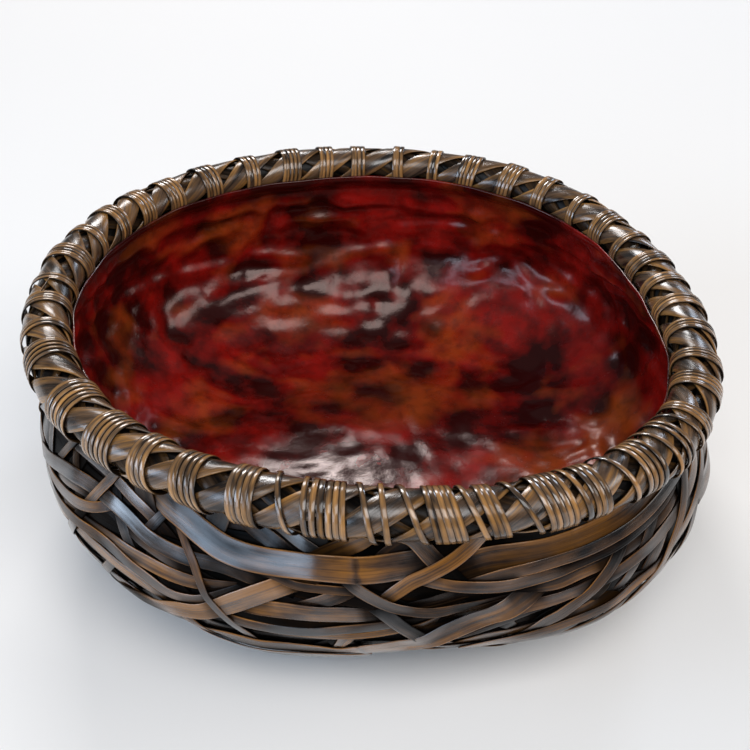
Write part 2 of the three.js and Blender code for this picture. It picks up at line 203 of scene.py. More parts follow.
def hand_made(points):
    """Places of the true round basket moved to the hand-made one, in metres.

    A share that grows smoothly with height brings in waves of radius and level round the rim, and what is
    left of it shifts the base. A bulge low on the wall draws the round out to four soft corners, and two
    bells of the angle add corners low on the front."""
    height = points[..., 2]
    share = smooth(height, 0, RIM_HEIGHT)
    bulge = hump(height, (0, BULGE_HEIGHT), (BULGE_HEIGHT, RIM_HEIGHT))
    angle = np.arctan2(points[..., 1], points[..., 0])

    def waves(terms):
        return sum(size * np.cos(count * angle - np.radians(phase)) for count, size, phase in terms)

    reach = np.hypot(points[..., 0], points[..., 1])
    low = hump(height, CORNER_RISE, CORNER_FALL) * smooth(reach, CORNER_START, BASE_RADIUS)
    turn = np.degrees(angle) % 360
    corners = sum(size * np.exp(-((turn - place) / spread) ** 2) for place, spread, size in LOW_CORNERS)
    radius = reach + share * waves(OUT_OF_ROUND) + bulge * waves(BULGE) + low * corners
    x = radius * np.cos(angle) + (1 - share) * BASE_SHIFT
    z = height + share * waves(OUT_OF_LEVEL) + STAND
    return np.stack([x, radius * np.sin(angle), z], axis=-1) / 1000


# Courses of the strips, as lengths along the profile against angles round the axis

def stake_course(middle, chord, leans, top):
    """A chord across the base that runs up the wall at both ends, which lean aside by a smooth share."""
    half = np.sqrt(top**2 - chord**2)
    across = np.linspace(-half, half, 500)
    along = np.hypot(chord, across)
    lean = np.where(across < 0, leans[0], leans[1])
    return along, middle + np.arctan2(across, chord) + smooth(along, 0.6 * BASE_EDGE, top) * lean


def rim_stake_course(index, chord, lean, shift, residues):
    """A stake whose two ends reach slots of the rim: each lean meets the nearest slot of its kind."""
    spread = np.arccos(chord / SLIT_MOUTH)
    ends = np.array([-spread, spread])
    kind = np.array(residues)
    slot = kind + 4 * np.floor(((ends + np.radians(lean)) / SLOT - kind) / 4 + 0.5)
    along, angle = stake_course((4 * index + shift + 0.5) * SLOT, chord, slot * SLOT - ends, SLIT_MOUTH)
    return np.concatenate([[REACH], along, [REACH]]), np.concatenate([angle[:1], angle, angle[-1:]])


def ring_course(level, swing, waves, start):
    """A strip nearly all round the wall, whose level swings as a cosine of the angle."""
    sweep = TAU - STRIP_END_GAP / np.interp(level, ALONG, RADIUS)
    angle = start + np.linspace(0, sweep, 700)
    return level + swing * np.cos(waves * angle + start), angle


def course_through(places):
    """A smooth course through angles in degrees and lengths along: cubics, sloped by the next places."""
    places = np.reshape(places, (-1, 2)).astype(float)
    slopes = np.gradient(places, axis=0)
    t = np.linspace(0, len(places) - 1, 400)
    i = np.minimum(t.astype(int), len(places) - 2)
    f = (t - i)[:, None]
    path = ((1 + 2 * f) * (1 - f) ** 2 * places[i] + f * (1 - f) ** 2 * slopes[i]
            + f**2 * (3 - 2 * f) * places[i + 1] + f**2 * (f - 1) * slopes[i + 1])
    return path[:, 1], np.radians(path[:, 0])


strips = []


def lay_strip(name, width, course, kind, rank=None, knots=(), gold=0.0, shown=None, loose=None):
    """Keeps a strip of a width along a course, with places an even step apart on the bowl.

    Its rank at a place says which strip lies outside where two cross. A front strip ranks high between the
    two angles where it is shown and tucks under a little way past them, and filling strips rank lower on the
    front. A loose place (angle, spread, height) stands off."""
    along, angle = course
    if shown:
        near = np.abs(np.degrees(angle) - np.mean(shown)) < (shown[1] - shown[0]) / 2 + TUCK
        along, angle = along[near], angle[near]
    length = run_length(on_bowl(along, angle)[0])
    count = 2 * max(int(length[-1] / STRIP_STEP / 2), 3) + 1
    even = np.linspace(0, length[-1], count)
    along, angle = np.interp(even, length, along), np.interp(even, length, angle)
    point, normal = on_bowl(along, angle)
    forward = np.gradient(point, axis=0)
    forward /= np.linalg.norm(forward, axis=1, keepdims=True)
    side = np.cross(forward, normal)
    side /= np.linalg.norm(side, axis=1, keepdims=True)
    number = len(strips)
    if rank is None:
        wave = np.sin(even * TAU / RANK_WAVE + number * GOLDEN * 1.7)
        ranks = np.sign(wave) + 0.5 * np.sin(number * GOLDEN)
    else:
        turn = np.degrees(angle) % 360
        if shown:
            start, end = shown
            under = 1 - hump(turn, (start - TUCK_RAMP, start), (end, end + TUCK_RAMP))
        else:
            under = hump(turn, *FRONT_EDGES)
        ranks = rank - UNDER_DROP * under + 0.3 * np.sin(even / 27 + number)
    spring = np.zeros_like(even)
    if loose:
        spring = loose[2] * np.exp(-((np.degrees(angle) - loose[0]) / loose[1]) ** 2)
    strips.append(dict(
        name=name, width=width, kind=kind, number=number, even=even, along=along, point=point, normal=normal,
        forward=forward, side=side, rank=ranks, knots=knots, gold=gold, spring=spring))


def lay_ring(name, share, width, swing, waves, start):
    """Lays a strip round the wall at a share of the way up, with room for its width and swing."""
    level = np.interp(share, [0, 1], [WALL_BOTTOM + width / 2 + swing, WALL_TOP - width / 2 - swing])
    lay_strip(name, width, ring_course(level, swing, waves, start), "band")


for i in range(6):
    lay_strip(f"stake_right_lean_{i + 1}", STAKE_WIDTH, rim_stake_course(i, 22, 42, 0, (2, 0)), "stake")
    lay_strip(f"stake_left_lean_{i + 1}", STAKE_WIDTH, rim_stake_course(i, 50, -30, 2, (1, 3)), "stake")
for i in range(7):
    lay_ring(f"wall_band_{i + 1}", i / 6, BAND_WIDTH, BAND_SWING, 2 + i % 2, GOLDEN * i)
for i in range(3):
    lay_ring(f"narrow_sweep_{i + 1}", (i + 0.5) / 3, SWEEP_WIDTH, SWEEP_SWING, 3, GOLDEN * (i + 2.5))

# Strips of the front of the wall: the angles between which each shows, width, rank and gold, then an angle
# and a length along for each place of its course
FRONT_STRIPS = [
    (238, 277, 8.2, 3.0, 0.1, 226, 175, 233, 174, 240, 170.2, 244.7, 166.4, 249, 163.6, 254, 162.9, 262,
     163.8, 269, 164.2, 277, 167.1, 284, 170, 291, 174),
    (241, 268, 2.8, 3.4, 0.3, 234, 175, 239.5, 169.6, 243.7, 164.6, 249, 160.5, 255.4, 159.6, 259.2, 157.7,
     264, 157.4, 269, 156.7, 275, 152, 281, 145, 287, 134, 292, 120, 297, 104, 300, 92),
    (231, 258, 6.5, 2.4, 0.6, 206, 112, 216, 121, 225, 127, 232, 133.2, 236, 134.2, 241, 138.6, 245.6, 141.6,
     250.4, 147.9, 254.7, 153.4, 258, 157.2, 263, 163, 268, 171, 271, 175),
    (262, 270, 4.8, 2.6, 0.3, 237, 104, 244, 118, 250, 130, 254.5, 141.2, 258.7, 147.4, 261.5, 151.2, 266,
     156.2, 268.5, 160.9, 272, 168.6, 276, 175),
    (265, 284, 4.0, 2.7, 0.2, 256, 175, 262, 168, 266, 161.8, 268, 158.1, 272, 152.9, 275.3, 151.4, 279,
     151.3, 284, 152.5, 292, 153.5, 301, 158.5, 310, 167, 316, 175),
    (247, 278, 6.0, 2.0, 0.55, 214, 116, 224, 127, 233, 137, 241, 143, 249, 147, 254, 147.1, 261, 148, 268,
     148.2, 274, 149.7, 283, 152.5, 293, 159, 302, 168, 307, 175),
    (248, 279, 3.6, 2.3, 0.4, 224, 174, 232, 163, 239, 150, 244.5, 141, 249, 139.7, 256, 139.5, 263, 140.9,
     272, 145, 279, 149.7, 287, 155.5, 295, 165, 301, 174.5),
    (251, 280, 2.9, 2.1, 0.5, 230, 168, 238, 152, 245, 140, 251, 136.5, 256, 133.8, 262, 134.9, 268.7, 138.7,
     274, 142.9, 281, 148.3, 290, 154, 299, 164, 305, 174.5),
    (246, 285, 7.7, 2.5, 0.25, 218, 98, 228, 108, 238, 116, 246, 126, 253, 125, 261.6, 122.7, 266, 123.5, 271,
     127.8, 278, 139, 284, 146.5, 291, 153, 298, 163, 304, 174),
    (269, 278, 5.2, 2.2, 0.15, 255, 175, 260, 167, 264, 160, 268, 155.3, 271.5, 149.3, 274, 144.3, 276, 140.3,
     279, 132.5, 283, 113, 287, 97, 289, 90),
    (241, 251, 2.6, 3.1, 0.45, 236, 175, 240, 167.6, 242.8, 160.9, 244.2, 157.2, 245.3, 151.6, 246, 147.9,
     247.6, 143.4, 249.5, 136.5, 253, 120.5, 257, 98, 259, 90),
    (198, 250, 4.6, 2.9, 0.35, 178, 128, 190, 140, 201.6, 151.3, 209, 156.7, 216, 161, 223, 162.9, 229, 163.1,
     236, 159.8, 242, 158.1, 249, 158.1, 256, 155, 263, 149, 270, 138, 276, 121, 281, 102),
    (204, 246, 4.2, 2.6, 0.1, 184, 132, 196, 143, 206, 152.5, 215.4, 157.9, 221.6, 160.3, 227, 160.9, 233.7,
     158.5, 239.2, 156.1, 244, 153.6, 249, 149, 254, 141, 259, 129, 264, 112, 268, 95),
    (203, 246, 4.8, 2.4, 0.2, 174, 122, 188, 133, 200, 140, 210, 146.5, 220.4, 150.1, 229.5, 152, 235.2,
     151.7, 241, 151, 248, 151.1, 256, 153.5, 264, 161, 271, 172, 273, 175),
    (203, 247, 3.6, 2.8, 0.4, 188, 174, 194, 162, 200, 151, 207, 146.5, 214, 146.5, 220.4, 149.3, 228, 150.6,
     234, 148.1, 239.5, 144.1, 244, 145.2, 249, 149.7, 255, 157, 261, 168, 265, 175),
    (283, 318, 8.2, 2.9, 0.75, 260, 118, 266, 136, 273, 152, 279, 161.5, 285, 166.1, 290, 166.6, 295, 166.4,
     300.5, 166.8, 307, 168.1, 311.5, 170.2, 317, 174.5, 320, 176.1),
    (275, 314, 3.8, 3.2, 0.1, 257, 175, 264, 171, 270, 166, 275.6, 162.3, 281, 159.5, 286, 158.4, 291, 158.7,
     299.6, 160.2, 306.3, 161.7, 313, 164.1, 321, 168, 327, 174.5),
    (279, 319, 4.8, 2.3, 0.6, 262, 122, 268, 139, 274, 150, 280, 155.3, 285, 155.9, 291, 155.6, 298, 156.5,
     304, 157.9, 311, 159.5, 319, 163.6, 327, 169, 333, 175),
    (283, 310, 4.6, 1.9, 0.45, 266, 114, 272, 131, 278.5, 144.5, 284.9, 150.4, 289, 151.3, 294, 151.1, 301,
     153.8, 308, 156.6, 317, 159, 327, 165, 336, 174),
    (292, 307, 4.3, 3.0, 0.2, 280, 98, 285, 113, 289.5, 126, 293.7, 138.4, 296, 142, 298.6, 146.5, 301.4,
     151.7, 305, 158.1, 308.5, 166.6, 311, 175),
    (274, 300, 4.8, 2.6, 0.6, 259, 94, 265, 107, 270, 117, 275.6, 130.6, 279, 135.6, 283.4, 140.4, 288.7, 145,
     293, 148.2, 298, 151.1, 307, 153.5, 319, 161, 329, 173),
    (284, 306, 4.4, 2.2, 0.5, 268, 94, 274, 108, 280, 118.5, 286.3, 131.2, 290, 134, 295.1, 138.4, 299, 141.1,
     304, 143, 313, 144, 325, 151, 337, 162, 345, 174),
    (295, 316, 5.4, 2.0, 0.3, 282, 96, 287, 114, 291.5, 129, 295, 140.7, 299, 142.7, 303, 141.2, 307.9, 139.2,
     310.5, 142.9, 313.5, 152, 318, 162.7, 322, 175),
    (273, 286, 4.5, 3.6, 0.65, 262, 118, 266, 136, 270, 150.5, 274.5, 159.9, 277.5, 163.3, 281, 167.3, 284,
     172.1, 286, 176.1),
    (274, 281, 5.6, 3.4, 0.3, 273, 176.5, 276, 175, 278.4, 168.4, 281, 161.8, 285, 151, 290, 136, 296, 117,
     302, 97, 304, 90),
    (250, 258, 5.6, 1.8, 0.1, 250, 176.1, 253, 171.8, 257, 167.1, 262, 159, 268, 147, 275, 128, 281, 110, 286,
     94),
    (257, 271, 6.0, 1.9, 0.45, 232, 98, 240, 118, 248, 138, 254, 150, 259, 160.9, 263, 166.6, 267, 171.2, 271,
     176.1),
    (199, 216, 3.6, 2.2, 0.2, 190, 104, 196, 120, 201, 134, 206, 147, 211, 160, 216, 175),
    (210, 228, 4.0, 2.5, 0.3, 200, 100, 206, 116, 212, 131, 218, 145, 223, 159, 228, 175),
    (222, 240, 3.6, 2.3, 0.15, 211, 98, 218, 116, 224, 132, 230, 147, 236, 162, 240, 175),
    (205, 222, 3.8, 2.45, 0.1, 201, 175.5, 205, 164, 210, 150, 215, 136, 221, 118, 227, 98),
    (216, 234, 4.2, 2.1, 0.25, 212, 175.5, 217, 163, 222, 149, 228, 134, 235, 114, 240, 97),
    (228, 243, 4.0, 2.7, 0.2, 224, 175.5, 228, 166, 233, 153, 238, 140, 244, 120, 249, 98),
    (300, 318, 3.8, 2.1, 0.3, 289, 98, 295, 116, 301, 133, 307, 148, 313, 162, 318, 175),
    (308, 326, 4.0, 2.5, 0.4, 297, 98, 303, 115, 310, 132, 316, 147, 321, 161, 326, 175),
    (318, 336, 4.2, 2.2, 0.35, 307, 98, 313, 115, 319, 132, 325, 147, 331, 162, 336, 175),
    (200, 240, 4.0, 2.75, 0.3, 186, 120, 196, 132, 206, 139, 216, 143, 226, 144, 234, 141.5, 240, 138, 246,
     130, 251, 118),
    (200, 236, 3.6, 2.55, 0.15, 184, 150, 194, 160, 204, 166.5, 214, 169.5, 224, 170.5, 232, 168, 238, 163,
     244, 155),
    (205, 240, 3.8, 2.35, 0.4, 190, 112, 200, 124, 210, 131, 220, 134.5, 230, 134, 238, 130, 244, 122),
    (198, 228, 3.4, 2.95, 0.2, 184, 168, 192, 160, 200, 154, 208, 151.5, 216, 153, 224, 158, 230, 165, 235,
     172),
    (284, 330, 3.6, 2.75, 0.35, 270, 140, 277, 152, 285, 160.5, 293, 162.8, 301, 163.5, 309, 165.2, 317, 168,
     325, 171.5, 331, 175),
    (286, 332, 4.2, 2.45, 0.5, 272, 122, 279, 136, 287, 146, 296, 150.5, 305, 152.5, 314, 156, 323, 161, 331,
     168, 337, 175),
    (292, 330, 3.8, 2.65, 0.25, 278, 112, 286, 126, 294, 135, 303, 140, 312, 143.5, 321, 149, 329, 157, 336,
     168),
    (296, 328, 3.4, 2.3, 0.45, 282, 100, 290, 116, 298, 126, 307, 132, 316, 136.5, 324, 143, 331, 153, 337,
     166),
]
# By place in that list: shares of the length with a joint of the culm, and the one that stands off somewhere
KNOTS = {0: (0.68,), 8: (0.5,), 13: (0.35,), 15: (0.55,)}
LOOSE = {2: (227, 10, 2)}
for k, (start, end, width, rank, gold, *places) in enumerate(FRONT_STRIPS):
    lay_strip(f"front_strip_{k + 1}", width, course_through(places), "front", rank, KNOTS.get(k, ()), gold,
              (start, end), LOOSE.get(k))

# Filling strips: more chords across the base, long arcs, and narrow strips worked in, with hidden ends
chance = np.random.default_rng(7)
for i in range(7):
    chord = (8, 36, 60)[i % 3] + chance.uniform(-3, 3)
    leans = np.radians(chance.uniform(10, 30, 2) * (1 if i % 2 else -1))
    middle = np.radians(90 + 14 * (i - 3))
    lay_strip(f"filling_stake_{i + 1}", chance.uniform(6, 8), stake_course(middle, chord, leans, FREE_TOP),
              "filling", chance.uniform(-1.2, 0.8), chance.uniform(0.1, 0.9, 2))
for i in range(24):
    span = chance.uniform(70, 115)
    start = np.interp(i, [0, 23], [326, 574 - span]) + chance.uniform(-4, 4)
    low = chance.uniform(104, 160)
    drop = chance.uniform(-14, 14)
    level = low + np.array([0, 8, 2, 0, 3, 8, 0]) + drop * np.linspace(-0.5, 0.5, 7)
    level[0], level[-1] = FREE_TOP, (FREE_TOP if i % 3 == 0 else LOW_END)
    level[-2] -= 0 if i % 3 == 0 else 22
    turn = start + span * np.array([0, 0.14, 0.32, 0.5, 0.7, 0.88, 1.0])
    places = np.stack([turn if i % 2 else 2 * start + span - turn, np.clip(level, LOW_END, FREE_TOP)], axis=1)
    lay_strip(f"filling_arc_{i + 1}", chance.uniform(4.5, 8.5), course_through(places), "filling",
              chance.uniform(-0.8, 2.6), chance.uniform(0.1, 0.9, 1), chance.uniform(0, 0.6))
for i in range(18):
    span = chance.uniform(25, 70)
    start = np.interp(i, [0, 17], [328, 572 - span]) + chance.uniform(-4, 4)
    s = np.linspace(0, 1, 6)
    level = FREE_TOP + (LOW_END - FREE_TOP) * s + 12 * np.sin(s * np.pi) * chance.uniform(-1, 1.5)
    turn = start + span * (s if i % 2 else 1 - s)
    lay_strip(f"filling_narrow_{i + 1}", chance.uniform(2.6, 4.2), course_through(np.stack([turn, level], 1)),
              "narrow", chance.uniform(-0.5, 3.2), (), chance.uniform(0, 0.6))


def contacts_of(one, two):
    """Contacts of two strips, in order along the first: both stations, and both shares across from -1 to 1.

    A contact is a point across one strip, within half a step of a station of the other."""
    step = 2 * STRIP_STEP
    shares = np.array([-1, -0.5, 0, 0.5, 1.0])
    gap = np.linalg.norm(one["point"][:, None] - two["point"][None], axis=2)
    i, j = np.nonzero(gap < (one["width"] + two["width"]) / 2 + step)
    found = []
    for first, second, m, n in ((one, two, i, j), (two, one, j, i)):
        edge = first["side"][m][:, None] * (shares * first["width"] / 2)[None, :, None]
        away = first["point"][m][:, None] + edge - second["point"][n][:, None]
        ahead = np.abs(np.einsum("ckx,cx->ck", away, second["forward"][n]))
        aside = np.einsum("ckx,cx->ck", away, second["side"][n]) * 2 / second["width"]
        c, k = np.nonzero((ahead <= step * NEAR_STATION) & (np.abs(aside) <= 1.0))
        sides = [shares[k], aside[c, k]]
        found.append(np.stack([i[c], j[c]] + (sides if first is one else sides[::-1])))
    found = np.concatenate(found, axis=1)
    return found[:, np.argsort(found[0], kind="stable")]


def find_contacts(places):
    """Contacts of all strips, each with its crossing, which is a run of contacts of one pair of strips.

    A crossing holds the two strips, which of them ranks outside, and whether that has to stay."""
    contacts, crossings = [], []
    bounds = [(p["point"].min(0) - 6, p["point"].max(0) + 6) for p in places]
    for (a, one), (b, two) in combinations(enumerate(places), 2):
        if np.any(bounds[a][0] > bounds[b][1]) or np.any(bounds[b][0] > bounds[a][1]):
            continue
        found = contacts_of(one, two)
        runs = np.cumsum(np.diff(found[0], prepend=found[0, :1]) > 3)
        for r in np.unique(runs):
            hits = found[:, runs == r]
            middle = hits[:, hits.shape[1] // 2].astype(int)
            ahead = one["rank"][middle[0]] - two["rank"][middle[1]]
            stays = (one["front"] or two["front"]) and abs(ahead) > 0.5
            contacts.append(np.concatenate([hits, np.full((1, hits.shape[1]), len(crossings))]))
            crossings.append((a, b, 1.0 if ahead >= 0 else -1.0, stays))
    return np.concatenate(contacts, axis=1), crossings


def twice_as_fine(rows):
    """Values of both edges at twice as many stations, straight between the given ones."""
    fine = np.arange(2 * len(rows) - 1) / 2
    return np.stack([np.interp(fine, np.arange(len(rows)), rows[:, k]) for k in (0, 1)], axis=1)


def interlace():
    """Lifts of both edges of every strip off the bowl, so that the outer strip clears the inner one.

    Each pass evens out the lifts along a strip, tilts its lower edge out and draws it down, then parts every
    contact closer than a strip's thickness by moving both strips by their shares. The worst crossings change
    which strip lies outside, a few times at most. Painted shade is kept where a strip runs under another."""
    places = [dict(width=s["width"], point=s["point"][::2], forward=s["forward"][::2], side=s["side"][::2],
                   rank=s["rank"][::2], front=s["kind"] == "front") for s in strips]
    counts = np.array([len(p["point"]) for p in places])
    first = np.concatenate([[0], np.cumsum(counts)])
    total = first[-1]
    index = np.arange(total)
    owner = np.repeat(np.arange(len(places)), counts)
    before = np.maximum(index - 1, first[owner])
    after = np.minimum(index + 1, first[owner + 1] - 1)
    along = np.concatenate([s["along"][::2] for s in strips])
    stake = np.repeat([s["kind"] == "stake" for s in strips], counts)
    fixed = stake & (along > NECK_EDGE - 2 * FIT_GAP)
    slope = np.concatenate([p["width"] * p["side"][:, 2] for p in places])
    slope = slope * smooth(along, BASE_EDGE, TILT_FULL)
    tilt = EDGE_TILT * slope[:, None] * np.array([0.5, -0.5])
    contacts, crossings = find_contacts(places)
    pair = np.array([c[:2] for c in crossings])
    over = np.array([c[2] for c in crossings])
    turns = np.array([MOST_TURNS if c[3] else 0 for c in crossings])
    cross = contacts[4].astype(int)
    i = contacts[0].astype(int) + first[pair[cross, 0]]
    j = contacts[1].astype(int) + first[pair[cross, 1]]
    left_i, right_i = (1 - contacts[2]) / 2, (1 + contacts[2]) / 2
    left_j, right_j = (1 - contacts[3]) / 2, (1 + contacts[3]) / 2
    columns = ((0, left_i, left_j), (1, right_i, right_j))
    free_i, free_j = ~fixed[i], ~fixed[j]
    weight = (left_i**2 + right_i**2) * free_i + (left_j**2 + right_j**2) * free_j
    clear = STRIP_THICKNESS + STRIP_GAP
    floor = STRIP_THICKNESS / 2 + STRIP_GAP
    lift = np.full((total, 2), FIRST_LIFT)
    lift[fixed] = WEAVE_STACK

    def shortfall():
        apart = lift[i, 0] * left_i + lift[i, 1] * right_i - lift[j, 0] * left_j - lift[j, 1] * right_j
        return np.maximum(clear - over[cross] * apart, 0)

    def settle(passes, easing):
        for _ in range(passes):
            if easing:
                drawn = EVENING * ((lift[before] + lift[after]) / 2 - lift) - DRAW_DOWN
                level = LEVELLING * (lift.mean(1, keepdims=True) + tilt - lift)
                lift[~fixed] += (drawn + level)[~fixed]
            short = shortfall()
            move = over[cross] * short / np.maximum(weight, 1e-6)
            near = (short > 0) * 1.0
            for column, share_i, share_j in columns:
                push = np.bincount(i, move * share_i, total) - np.bincount(j, move * share_j, total)
                hold = np.bincount(i, near * share_i, total) + np.bincount(j, near * share_j, total)
                push[fixed] = 0
                lift[:, column] += PUSH * push / np.maximum(hold, 1.0)
            np.maximum(lift, floor, out=lift, where=~fixed[:, None])
        return np.maximum.reduceat(shortfall(), np.flatnonzero(np.diff(cross, prepend=-1)))

    for _ in range(ROUNDS):
        settle(12, easing=True)
        worst = settle(14, easing=False)
        tried = np.argsort(-worst)
        tried = tried[(worst[tried] > MOST_SHORT) & (turns[tried] < MOST_TURNS)]
        taken = set()
        for c in tried:
            if not taken.intersection(pair[c]):
                over[c] *= -1
                turns[c] += 1
                taken.update(pair[c])
    settle(40, easing=True)
    settle(60, easing=False)
    width = np.repeat([s["width"] for s in strips], counts)
    twist = np.clip((lift[:, 1] - lift[:, 0]) / 2, -MOST_TWIST * width, MOST_TWIST * width)
    lift = lift.mean(1, keepdims=True) + np.stack([-twist, twist], axis=1)
    # Painted shade: full at each contact where a strip runs under another, then softened along the strip
    painted_shade = np.zeros((total, 2))
    for column, share_i, share_j in columns:
        np.maximum.at(painted_shade[:, column], i, share_i * (over[cross] < 0))
        np.maximum.at(painted_shade[:, column], j, share_j * (over[cross] > 0))
    for _ in range(2):
        painted_shade = 0.5 * painted_shade + 0.25 * (painted_shade[before] + painted_shade[after])
    painted_shade = smooth(painted_shade, 0.25, 0.85)
    for s, start, count in zip(strips, first, counts):
        s["painted_shade"] = twice_as_fine(painted_shade[start:start + count])
        edges = twice_as_fine(lift[start:start + count])
        for _ in range(LIFT_SMOOTHING):
            edges[1:-1] = (edges[:-2] + 2 * edges[1:-1] + edges[2:]) / 4
        s["lift"] = edges + s["spring"][:, None]


interlace()


# Meshes from grids

def tube_faces(rows, columns, first=0, loop=False):
    """Faces of a tube of rows of points, closed round each row, with a cap at each end or looped."""
    i, k = np.meshgrid(np.arange(rows if loop else rows - 1), np.arange(columns), indexing="ij")
    m = (k + 1) % columns
    here, ahead = i * columns, (i + 1) % rows * columns
    quads = np.stack([here + k, here + m, ahead + m, ahead + k], axis=-1)
    ends = [] if loop else [np.arange(columns)[::-1], (rows - 1) * columns + np.arange(columns)]
    return (quads.reshape(-1, 4) + first).tolist() + [(e + first).tolist() for e in ends]


def link(name, data):
    """New object of the scene that shows the data."""
    item = bpy.data.objects.new(name, data)
    bpy.context.scene.collection.objects.link(item)
    return item


def make_piece(name, points, faces, attributes, material, nodes):
    """Mesh object from points in metres, faces and values at each point, riding on the basket."""
    mesh = bpy.data.meshes.new(name)
    mesh.from_pydata(points.reshape(-1, 3).tolist(), [], faces)
    for key, values in attributes.items():
        vector = values.ndim > 1 and values.shape[-1] == 3
        layer = mesh.attributes.new(key, "FLOAT_VECTOR" if vector else "FLOAT", "POINT")
        layer.data.foreach_set("vector" if vector else "value", values.astype(np.float32).ravel())
    mesh.shade_smooth()
    mesh.materials.append(material)
    piece = link(name, mesh)
    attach(piece, "root")
    if nodes:
        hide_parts(*nodes)


def bamboo_piece(name, surface, faces, material, nodes):
    """One piece of bamboo from the points, grain, tone, wear with painted highlight, and painted shade of its
    surface.
    """
    points, grain, tone, wear_and_highlight, painted_shade = surface
    make_piece(name, points, faces, dict(grain=grain, tone=tone, wear_and_highlight=wear_and_highlight, painted_shade=painted_shade), material, nodes)


# Materials

class Nodes:
    """Adds nodes to one material and links them."""

    def __init__(self, name):
        self.material = bpy.data.materials.new(name)
        self.material.use_nodes = True
        self.tree = self.material.node_tree
        self.shader = self.tree.nodes["Principled BSDF"]

    def add(self, kind, inputs=None, **settings):
        node = self.tree.nodes.new(kind)
        for key, value in settings.items():
            setattr(node, key, value)
        for key, value in (inputs or {}).items():
            self.put(node.inputs[key], value)
        return node

    def put(self, socket, value):
        if isinstance(value, bpy.types.NodeSocket):
            self.tree.links.new(value, socket)
        else:
            socket.default_value = (*value, 1) if socket.type == "RGBA" else value

    def set(self, name, value):
        self.put(self.shader.inputs[name], value)

    def attribute(self, name, output):
        return self.add("ShaderNodeAttribute", attribute_name=name).outputs[output]

    def math(self, operation, a, b):
        return self.add("ShaderNodeMath", {0: a, 1: b}, operation=operation).outputs[0]

    def fit(self, value, low, high, to_low=0.0, to_high=1.0):
        return self.add("ShaderNodeMapRange", {0: value, 1: low, 2: high, 3: to_low, 4: to_high}).outputs[0]

    def mix(self, share, a, b):
        node = self.add("ShaderNodeMix", data_type="RGBA")
        for place, value in ((0, share), (6, a), (7, b)):
            self.put(node.inputs[place], value)
        return node.outputs[2]

    def noise(self, vector, scale, detail, rough=0.5):
        inputs = {"Vector": vector, "Scale": scale, "Detail": detail, "Roughness": rough}
        return self.add("ShaderNodeTexNoise", inputs).outputs["Fac"]

    def stretch(self, vector, scale):
        return self.add("ShaderNodeVectorMath", {0: vector, 1: scale}, operation="MULTIPLY").outputs[0]

    def bump(self, strength, distance, height):
        node = self.add("ShaderNodeBump", {"Strength": strength, "Distance": distance, "Height": height})
        self.set("Normal", node.outputs[0])


def bamboo(name, dark, middle, golden, gloss, coat, fibre=1.0):
    """Smoked split bamboo: fibres run along the grain, and tone picks dark to golden.

    Wear and painted highlight bare gold, and painted shade darkens it towards black and dulls its reflection."""
    n = Nodes(name)
    grain = n.attribute("grain", "Vector")
    tone = n.attribute("tone", "Fac")
    wear_and_highlight = n.attribute("wear_and_highlight", "Fac")
    unshaded = n.math("SUBTRACT", 1.0, n.attribute("painted_shade", "Fac"))
    fibres = n.noise(n.stretch(grain, (14.0, 1500.0, 900.0)), 1.0, 3.0, 0.65)
    streaks = n.noise(n.stretch(grain, (9.0, 480.0, 900.0)), 1.0, 2.0)
    blotches = n.noise(n.stretch(grain, (46.0, 150.0, 900.0)), 1.0, 3.0, 0.55)
    polish = n.fit(n.noise(n.stretch(grain, (34.0, 110.0, 700.0)), 1.0, 2.0), 0.4, 0.62, 0.2)
    shade = n.math("ADD", tone, n.fit(blotches, 0.3, 0.7, -0.38, 0.38))
    shade = n.math("ADD", shade, n.fit(streaks, 0.3, 0.7, -0.25, 0.25))
    base = n.mix(n.fit(shade, 0.05, 0.6), dark, middle)
    base = n.mix(n.fit(shade, 0.6, 1.1), base, golden)
    rubbed_and_highlit = n.math("MULTIPLY", wear_and_highlight, n.fit(blotches, 0.38, 0.62))
    base = n.mix(rubbed_and_highlit, base, [1.4 * c for c in golden])
    base = n.mix(n.fit(fibres, 0.42, 0.68, 0.0, 0.75 * fibre), base, dark)
    # Painted shade blends the colour towards near black
    n.set("Base Color", n.mix(n.fit(unshaded, 0.0, 1.0, 0.93, 0.0), base, (0.001, 0.001, 0.001)))
    n.set("Roughness", n.fit(n.math("ADD", fibres, blotches), 0.7, 1.3, gloss - 0.08, gloss + 0.1))
    # Painted shade also takes away the reflection and the coat
    n.set("Specular IOR Level", n.math("MULTIPLY", polish, n.fit(unshaded, 0.0, 1.0, 0.03, 0.8)))
    n.set("Coat Weight", n.math("MULTIPLY", polish, n.fit(unshaded, 0.3, 1.0, 0.0, coat)))
    n.set("Coat Roughness", 0.2)
    n.set("Specular Tint", (0.92, 0.95, 1.0))
    ridges = n.math("ADD", n.math("MULTIPLY", fibres, 0.6), n.math("MULTIPLY", streaks, 0.4))
    n.bump(0.6 * fibre, 0.00025, ridges)
    return n.material


SOOTY = (0.004, 0.003, 0.003)
strip_bamboo = bamboo("smoked_bamboo_strip", SOOTY, (0.052, 0.028, 0.017), (0.2, 0.082, 0.016), 0.22, 0.75)
stake_bamboo = bamboo("smoked_bamboo_stake", SOOTY, (0.046, 0.029, 0.02), (0.15, 0.066, 0.015), 0.32, 0.25)
hoop_bamboo = bamboo("black_bamboo_hoop", SOOTY, (0.01, 0.008, 0.006), (0.03, 0.018, 0.01), 0.6, 0.0)
wrap_bamboo = bamboo(
    "smoked_bamboo_wrap", (0.008, 0.006, 0.005), (0.095, 0.058, 0.037), (0.25, 0.12, 0.032), 0.24, 0.55)
